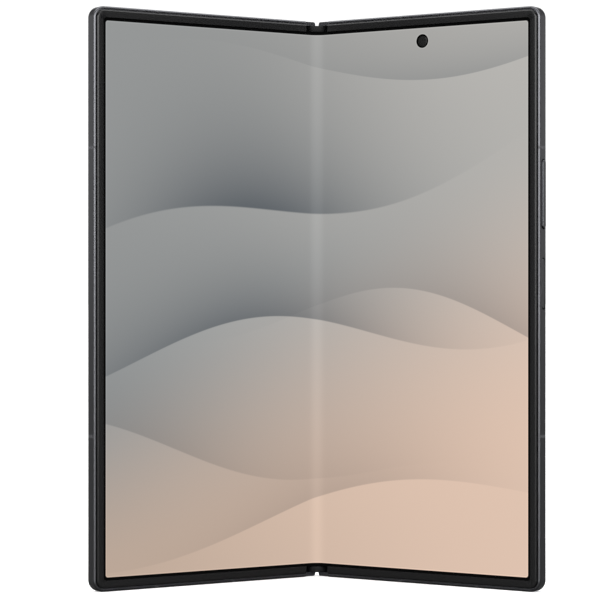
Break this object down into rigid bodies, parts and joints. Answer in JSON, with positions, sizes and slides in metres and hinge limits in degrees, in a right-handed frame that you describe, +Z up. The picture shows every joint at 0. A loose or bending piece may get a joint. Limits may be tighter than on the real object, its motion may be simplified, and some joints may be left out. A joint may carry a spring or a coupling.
{
  "type": "foldable smartphone",
  "caption": "Book-style folding phone standing half open: two slim halves on a geared hinge, a large screen across the fold, rear cameras and side keys.",
  "frame": {"origin": "middle of the outline on the surface that the half-open phone stands on", "axes": "+Z up along the fold, -Y out of the screens towards the user, +X to the user's right"},
  "size_m": [0.1239, 0.0422, 0.1584],
  "materials": {
    "frame_metal": "satin anodised, blue black",
    "hinge_metal": "satin anodised",
    "steel": "brushed",
    "black_plastic": "satin, moulded",
    "screen_left": "lit screen, grey picture",
    "screen_right": "lit screen, warm picture",
    "dark_glass": "opaque coated glass",
    "lens_glass": "clear, dark behind",
    "antenna_plastic": "satin",
    "board": "solder mask",
    "copper": "bare copper",
    "cell": "laminate pouch"
  },
  "bodies": {
    "spine": {"spine_cover": "hinge_metal", "spine_end_cap_top": "black_plastic", "spine_end_cap_bottom": "black_plastic", "hinge_base_top": "steel", "hinge_base_bottom": "steel", "gear_base": "steel", "gear_shafts": "steel", "disc_springs": "steel", "inner_display_fold": "screen_left", "hinge_flex_cable": "copper"},
    "right_half": {"right_frame": "frame_metal", "right_bezel": "black_plastic", "inner_display_right": "screen_right", "right_hinge_arms": "steel", "right_hinge_screws": "steel", "right_antenna_bands": "antenna_plastic", "back_glass": "dark_glass", "camera_plate": "frame_metal", "camera_rings": "frame_metal", "camera_windows": "lens_glass", "camera_modules": "black_plastic", "flash_window": "lens_glass", "main_board": "board", "shield_cans": "steel", "right_battery": "cell", "charging_coil": "copper", "usb_c_port": "steel", "usb_c_tongue": "black_plastic", "lower_board": "board", "loudspeaker": "black_plastic", "vibration_motor": "steel", "inner_camera": "black_plastic", "key_switches": "copper", "right_magnets": "steel"},
    "left_half": {"left_frame": "frame_metal", "left_bezel": "black_plastic", "inner_display_left": "screen_left", "left_hinge_arms": "steel", "left_hinge_screws": "steel", "left_antenna_bands": "antenna_plastic", "cover_glass": "dark_glass", "cover_display_panel": "dark_glass", "cover_camera": "black_plastic", "left_battery": "cell", "left_board": "board", "earpiece": "black_plastic", "card_reader": "steel", "left_magnets": "steel"},
    "right_sync_arm": {"right_sync_arm": "steel"},
    "left_sync_arm": {"left_sync_arm": "steel"},
    "right_idler": {"right_idler_gear": "steel"},
    "left_idler": {"left_idler_gear": "steel"},
    "right_wing": {"right_wing_plate": "steel"},
    "left_wing": {"left_wing_plate": "steel"},
    "volume_rocker": {"volume_rocker": "frame_metal"},
    "side_key": {"side_key": "frame_metal"},
    "card_tray": {"card_tray": "frame_metal"}
  },
  "joints": [
    {"name": "right_fold", "type": "hinge", "parent": "spine", "child": "right_half", "pos_m": [0.00125, 0.0178, 0.0792], "axis": [0, 0, -1], "range_deg": [-33, 57], "deforming": ["inner_display_fold", "hinge_flex_cable"]},
    {"name": "left_fold", "type": "hinge", "parent": "spine", "child": "left_half", "pos_m": [-0.00125, 0.0178, 0.0792], "axis": [0, 0, 1], "range_deg": [-33, 57]},
    {"name": "right_sync_turn", "type": "hinge", "parent": "spine", "child": "right_sync_arm", "pos_m": [0.0021, 0.0188, 0.0792], "axis": [0, 0, -1], "range_deg": [-33, 57]},
    {"name": "left_sync_turn", "type": "hinge", "parent": "spine", "child": "left_sync_arm", "pos_m": [-0.0021, 0.0188, 0.0792], "axis": [0, 0, 1], "range_deg": [-33, 57]},
    {"name": "right_idler_turn", "type": "hinge", "parent": "spine", "child": "right_idler", "pos_m": [0.0007, 0.0188, 0.0792], "axis": [0, 0, 1], "range_deg": [-33, 57]},
    {"name": "left_idler_turn", "type": "hinge", "parent": "spine", "child": "left_idler", "pos_m": [-0.0007, 0.0188, 0.0792], "axis": [0, 0, -1], "range_deg": [-33, 57]},
    {"name": "right_wing_tilt", "type": "hinge", "parent": "right_half", "child": "right_wing", "pos_m": [0.00433, 0.01594, 0.0792], "axis": [0, 0, -1], "range_deg": [-5.21, 8.94]},
    {"name": "left_wing_tilt", "type": "hinge", "parent": "left_half", "child": "left_wing", "pos_m": [-0.00433, 0.01594, 0.0792], "axis": [0, 0, 1], "range_deg": [-5.21, 8.94]},
    {"name": "volume_rocker_tilt", "type": "hinge", "parent": "right_half", "child": "volume_rocker", "pos_m": [0.05942, -0.01857, 0.10755], "axis": [0.5446, 0.8387, 0], "range_deg": [-1.2, 1.2], "stiffness_Nm_per_rad": 0.2},
    {"name": "side_key_press", "type": "slide", "parent": "right_half", "child": "side_key", "axis": [-0.8387, 0.5446, 0], "range_m": [0, 0.00022], "stiffness_N_per_m": 3000},
    {"name": "card_tray_slide", "type": "slide", "parent": "left_half", "child": "card_tray", "axis": [0, 0, 1], "range_m": [0, 0.012]}
  ],
  "couplings": [
    {"joint": "left_fold", "follows": "right_fold", "ratio": 1},
    {"joint": "right_sync_turn", "follows": "right_fold", "ratio": 1},
    {"joint": "left_sync_turn", "follows": "right_fold", "ratio": 1},
    {"joint": "right_idler_turn", "follows": "right_fold", "ratio": 1},
    {"joint": "left_idler_turn", "follows": "right_fold", "ratio": 1},
    {"joint": "right_wing_tilt", "follows": "right_fold", "ratio": 0.155},
    {"joint": "left_wing_tilt", "follows": "right_fold", "ratio": 0.155}
  ]
}
